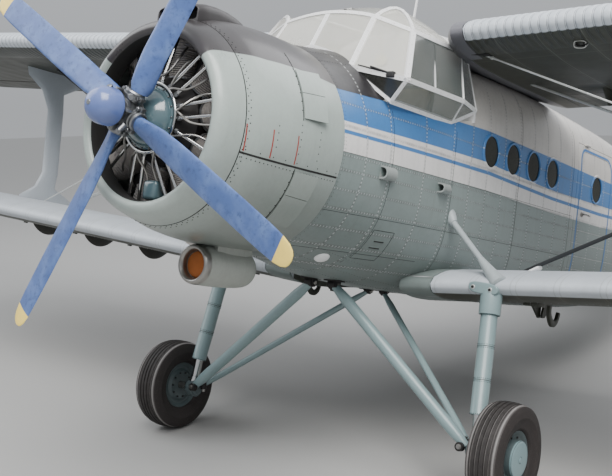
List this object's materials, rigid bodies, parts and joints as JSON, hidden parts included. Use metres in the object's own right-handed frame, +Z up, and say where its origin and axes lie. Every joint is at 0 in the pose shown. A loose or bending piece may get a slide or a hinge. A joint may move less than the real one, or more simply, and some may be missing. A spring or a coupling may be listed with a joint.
{
  "type": "utility biplane",
  "caption": "Single-engined utility biplane with a radial engine, braced wings, a glazed cockpit, a cargo cabin and a fixed tail-wheel gear, parked on its wheels.",
  "frame": {"origin": "on the ground under the middle of the aircraft's length, on its centre plane", "axes": "+X to the aircraft's left, -Y forward to the propeller, +Z up; the aircraft stands parked on its main wheels and tail wheel, nose up by 11.8 degrees"},
  "size_m": [18.126, 12.8026, 4.3512],
  "materials": {
    "airframe_paint": "satin grey and white paint with blue bands",
    "propeller_paint": "worn satin blue paint with yellow tips",
    "gear_paint": "semi-gloss grey-green paint",
    "engine_metal": "dark heat-stained metal",
    "wire_steel": "streamlined bracing wire",
    "interior_trim": "painted floor, panel and seats",
    "glass": "clear, slightly dusty",
    "tyre": "ribbed black rubber"
  },
  "bodies": {
    "airframe": {"cowl_nose_ring": "airframe_paint", "cowl_panels": "airframe_paint", "engine": "engine_metal", "intake_scoop": "airframe_paint", "oil_cooler_duct": "airframe_paint", "exhaust_pipe": "engine_metal", "fuselage_cabin": "airframe_paint", "fuselage_door_section": "airframe_paint", "rear_fuselage": "airframe_paint", "cabin_glass_left": "glass", "cabin_glass_right": "glass", "canopy_frame": "airframe_paint", "canopy_glass": "glass", "cabin_interior": "interior_trim", "cockpit_interior": "interior_trim", "upper_wing_left": "airframe_paint", "upper_wing_right": "airframe_paint", "slat_left": "airframe_paint", "slat_right": "airframe_paint", "lower_wing_left": "airframe_paint", "lower_wing_right": "airframe_paint", "interplane_strut_left": "airframe_paint", "interplane_strut_right": "airframe_paint", "flying_wires_left": "wire_steel", "flying_wires_right": "wire_steel", "landing_wires_left": "wire_steel", "landing_wires_right": "wire_steel", "tailplane": "airframe_paint", "fin": "airframe_paint", "gear_leg_left": "gear_paint", "gear_leg_right": "gear_paint", "gear_braces_left": "gear_paint", "gear_braces_right": "gear_paint", "wing_stay_left": "gear_paint", "wing_stay_right": "gear_paint"},
    "propeller": {"propeller_hub": "propeller_paint", "blade_1": "propeller_paint", "blade_2": "propeller_paint", "blade_3": "propeller_paint", "blade_4": "propeller_paint"},
    "wheel_left": {"tyre_left": "tyre", "wheel_hub_left": "gear_paint"},
    "wheel_right": {"tyre_right": "tyre", "wheel_hub_right": "gear_paint"},
    "tail_swivel": {"tail_fork": "gear_paint"},
    "tail_wheel": {"tail_tyre": "tyre", "tail_wheel_hub": "gear_paint"},
    "rudder": {"rudder": "airframe_paint"},
    "elevators": {"elevator_left": "airframe_paint", "elevator_right": "airframe_paint"},
    "aileron_left": {"aileron_left": "airframe_paint"},
    "aileron_right": {"aileron_right": "airframe_paint"},
    "upper_flap_left": {"upper_flap_left": "airframe_paint"},
    "upper_flap_right": {"upper_flap_right": "airframe_paint"},
    "lower_flap_left": {"lower_flap_left": "airframe_paint"},
    "lower_flap_right": {"lower_flap_right": "airframe_paint"},
    "cargo_door": {"cargo_door": "airframe_paint"},
    "entry_door": {"entry_door": "airframe_paint", "entry_door_glass": "glass"}
  },
  "joints": [
    {"name": "propeller_spin", "type": "hinge", "parent": "airframe", "child": "propeller", "pos_m": [0, -6.07886, 2.90861], "axis": [0, 0.9789, -0.2045], "continuous": true},
    {"name": "wheel_left_spin", "type": "hinge", "parent": "airframe", "child": "wheel_left", "pos_m": [1.666, -4.06123, 0.4], "axis": [1, 0, 0], "continuous": true},
    {"name": "wheel_right_spin", "type": "hinge", "parent": "airframe", "child": "wheel_right", "pos_m": [-1.666, -4.06123, 0.4], "axis": [1, 0, 0], "continuous": true},
    {"name": "tail_swivel_turn", "type": "hinge", "parent": "airframe", "child": "tail_swivel", "pos_m": [0, 4.12111, 0.535], "axis": [0, 0, 1], "continuous": true},
    {"name": "tail_wheel_spin", "type": "hinge", "parent": "tail_swivel", "child": "tail_wheel", "pos_m": [0, 4.27111, 0.235], "axis": [1, 0, 0], "continuous": true},
    {"name": "rudder_turn", "type": "hinge", "parent": "airframe", "child": "rudder", "pos_m": [0, 4.90403, 0.61417], "axis": [0, 0.2045, 0.9789], "range_deg": [-28, 28]},
    {"name": "elevator_turn", "type": "hinge", "parent": "airframe", "child": "elevators", "pos_m": [0, 4.6839, 1.01771], "axis": [1, 0, 0], "range_deg": [-22.5, 42]},
    {"name": "aileron_left_turn", "type": "hinge", "parent": "airframe", "child": "aileron_left", "pos_m": [4.42, -1.62233, 3.25477], "axis": [0.9986, 0.0107, 0.0512], "range_deg": [-14, 30]},
    {"name": "aileron_right_turn", "type": "hinge", "parent": "airframe", "child": "aileron_right", "pos_m": [-4.42, -1.62233, 3.25477], "axis": [0.9986, -0.0107, -0.0512], "range_deg": [-14, 30]},
    {"name": "lower_flap_left_turn", "type": "hinge", "parent": "airframe", "child": "lower_flap_left", "pos_m": [1.06, -2.2891, 1.06317], "axis": [-0.9972, -0.0153, -0.0734], "range_deg": [0, 40]},
    {"name": "lower_flap_right_turn", "type": "hinge", "parent": "airframe", "child": "lower_flap_right", "pos_m": [-1.06, -2.2891, 1.06317], "axis": [-0.9972, 0.0153, 0.0734], "range_deg": [0, 40]},
    {"name": "upper_flap_left_turn", "type": "hinge", "parent": "airframe", "child": "upper_flap_left", "pos_m": [1, -1.7494, 2.90152], "axis": [-0.9986, -0.0107, -0.0512], "range_deg": [0, 40]},
    {"name": "upper_flap_right_turn", "type": "hinge", "parent": "airframe", "child": "upper_flap_right", "pos_m": [-1, -1.7494, 2.90152], "axis": [-0.9986, 0.0107, 0.0512], "range_deg": [0, 40]},
    {"name": "cargo_door_turn", "type": "hinge", "parent": "airframe", "child": "cargo_door", "pos_m": [0.808, -0.71996, 2.54506], "axis": [0, -0.9789, 0.2045], "range_deg": [0, 90]},
    {"name": "entry_door_turn", "type": "hinge", "parent": "cargo_door", "child": "entry_door", "pos_m": [0.7, -0.76851, 1.79922], "axis": [0, 0.2045, 0.9789], "range_deg": [0, 85]}
  ],
  "couplings": [
    {"joint": "lower_flap_right_turn", "follows": "lower_flap_left_turn", "ratio": 1},
    {"joint": "upper_flap_left_turn", "follows": "lower_flap_left_turn", "ratio": 1},
    {"joint": "upper_flap_right_turn", "follows": "lower_flap_left_turn", "ratio": 1}
  ]
}
